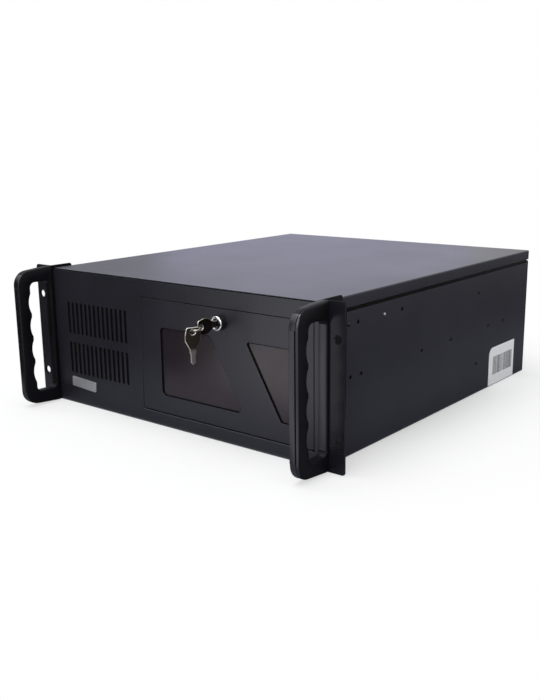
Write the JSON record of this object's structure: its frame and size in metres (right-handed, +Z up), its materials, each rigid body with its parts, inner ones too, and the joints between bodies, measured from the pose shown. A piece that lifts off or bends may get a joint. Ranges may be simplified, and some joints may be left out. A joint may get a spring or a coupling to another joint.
{
  "type": "rack-mount computer server",
  "caption": "Black 19-inch rack-mount server case with rack ears, loop handles, a slide-off lid and a lockable drop-down door with smoked windows over its drive bays and controls.",
  "frame": {"origin": "bottom centre of the whole part, on the surface that it stands on", "axes": "+X to the right seen from the front, +Y to the rear, +Z up"},
  "size_m": [0.4826, 0.5576, 0.177],
  "materials": {
    "black_steel": "fine-textured black powder coat",
    "black_panel": "fine-textured black powder coat",
    "black_handle": "die-cast, painted satin black",
    "brushed_badge": "brushed",
    "smoked_window": "smoked acrylic",
    "chrome": "polished",
    "plated_steel": "zinc plated",
    "screw_steel": "black oxide",
    "key_metal": "nickel plated",
    "black_plastic": "moulded",
    "button_plastic": "satin moulded",
    "light_lens": "clear moulded",
    "drive_casting": "cast and machined",
    "filter_foam": "open-cell foam",
    "circuit_board": "solder mask",
    "brass_post": "turned",
    "socket_plastic": "moulded",
    "sink_aluminium": "extruded",
    "supply_steel": "plated sheet",
    "rocker_plastic": "moulded",
    "fan_plastic": "moulded"
  },
  "bodies": {
    "chassis": {"air_filter": "filter_foam", "badge_plate": "brushed_badge", "base_tray": "black_steel", "bay_cover_1": "black_plastic", "bay_cover_2": "black_plastic", "bay_cover_3": "black_plastic", "bay_frame": "black_steel", "board_sockets": "socket_plastic", "button_switches": "black_plastic", "connector_shield": "plated_steel", "cooler_fan_frame": "fan_plastic", "drive_bracket": "plated_steel", "drive_cage": "plated_steel", "filter_frame": "black_plastic", "front_fan_frame": "fan_plastic", "front_panel": "black_panel", "hard_drive_1": "drive_casting", "hard_drive_2": "drive_casting", "heat_sink": "sink_aluminium", "hinge_pins": "plated_steel", "hold_down_bar": "plated_steel", "indicator_lights": "light_lens", "left_ear": "black_steel", "left_handle": "black_handle", "mainboard": "circuit_board", "mains_inlet": "black_plastic", "memory_modules": "circuit_board", "pan_head_screws": "screw_steel", "psu_board": "circuit_board", "psu_case": "supply_steel", "psu_fan_frame": "fan_plastic", "rear_connectors": "plated_steel", "rear_fan_1_frame": "fan_plastic", "rear_fan_2_frame": "fan_plastic", "rear_panel": "black_steel", "right_ear": "black_steel", "right_handle": "black_handle", "rocker_housing": "black_plastic", "slot_covers": "plated_steel", "standoffs": "brass_post", "usb_module": "plated_steel"},
    "lid": {"lid": "black_steel", "lid_thumbscrews": "plated_steel"},
    "door": {"front_door": "black_panel", "door_window": "smoked_window", "lock_housing": "chrome", "lock_nut": "plated_steel"},
    "lock": {"lock_plug": "chrome", "lock_cam": "plated_steel", "key": "key_metal"},
    "ring": {"key_ring": "plated_steel"},
    "spare": {"spare_key": "key_metal"},
    "power": {"power_button": "button_plastic"},
    "reset": {"reset_button": "button_plastic"},
    "rocker": {"rocker_switch": "rocker_plastic"},
    "front_fan": {"front_fan_rotor": "fan_plastic"},
    "rear_fan_1": {"rear_fan_1_rotor": "fan_plastic"},
    "rear_fan_2": {"rear_fan_2_rotor": "fan_plastic"},
    "cooler_fan": {"cooler_fan_rotor": "fan_plastic"},
    "psu_fan": {"psu_fan_rotor": "fan_plastic"}
  },
  "joints": [
    {"name": "door_hinge", "type": "hinge", "parent": "chassis", "child": "door", "pos_m": [0.074, -0.21765, 0.0218], "axis": [1, 0, 0], "range_deg": [0, 90]},
    {"name": "lock_turn", "type": "hinge", "parent": "door", "child": "lock", "pos_m": [0.07599, -0.22325, 0.137], "axis": [0, -1, 0], "range_deg": [0, 90]},
    {"name": "key_ring_swing", "type": "hinge", "parent": "lock", "child": "ring", "pos_m": [0.07599, -0.2571, 0.13688], "axis": [-1, 0, 0], "range_deg": [0, 30]},
    {"name": "spare_key_swing", "type": "hinge", "parent": "ring", "child": "spare", "pos_m": [0.07599, -0.26787, 0.13613], "axis": [1, 0, 0], "range_deg": [-25, 15]},
    {"name": "power_press", "type": "slide", "parent": "chassis", "child": "power", "axis": [0, 1, 0], "range_m": [0, 0.003], "stiffness_N_per_m": 500, "springref_m": -0.002},
    {"name": "reset_press", "type": "slide", "parent": "chassis", "child": "reset", "axis": [0, 1, 0], "range_m": [0, 0.003], "stiffness_N_per_m": 400, "springref_m": -0.002},
    {"name": "lid_slide", "type": "slide", "parent": "chassis", "child": "lid", "axis": [0, 1, 0], "range_m": [0, 0.5]},
    {"name": "supply_switch", "type": "hinge", "parent": "chassis", "child": "rocker", "pos_m": [0.1383, 0.26405, 0.0412], "axis": [1, 0, 0], "range_deg": [-16, 0]},
    {"name": "front_fan_spin", "type": "hinge", "parent": "chassis", "child": "front_fan", "pos_m": [-0.1325, -0.20325, 0.0866], "axis": [0, 1, 0], "continuous": true},
    {"name": "rear_fan_1_spin", "type": "hinge", "parent": "chassis", "child": "rear_fan_1", "pos_m": [0.059, 0.25475, 0.1098], "axis": [0, 1, 0], "continuous": true},
    {"name": "rear_fan_2_spin", "type": "hinge", "parent": "chassis", "child": "rear_fan_2", "pos_m": [-0.021, 0.25475, 0.1098], "axis": [0, 1, 0], "continuous": true},
    {"name": "cooler_fan_spin", "type": "hinge", "parent": "chassis", "child": "cooler_fan", "pos_m": [0.03, 0.17105, 0.06], "axis": [0, 0, 1], "continuous": true},
    {"name": "psu_fan_spin", "type": "hinge", "parent": "chassis", "child": "psu_fan", "pos_m": [0.1603, 0.25675, 0.1082], "axis": [0, 1, 0], "continuous": true}
  ]
}
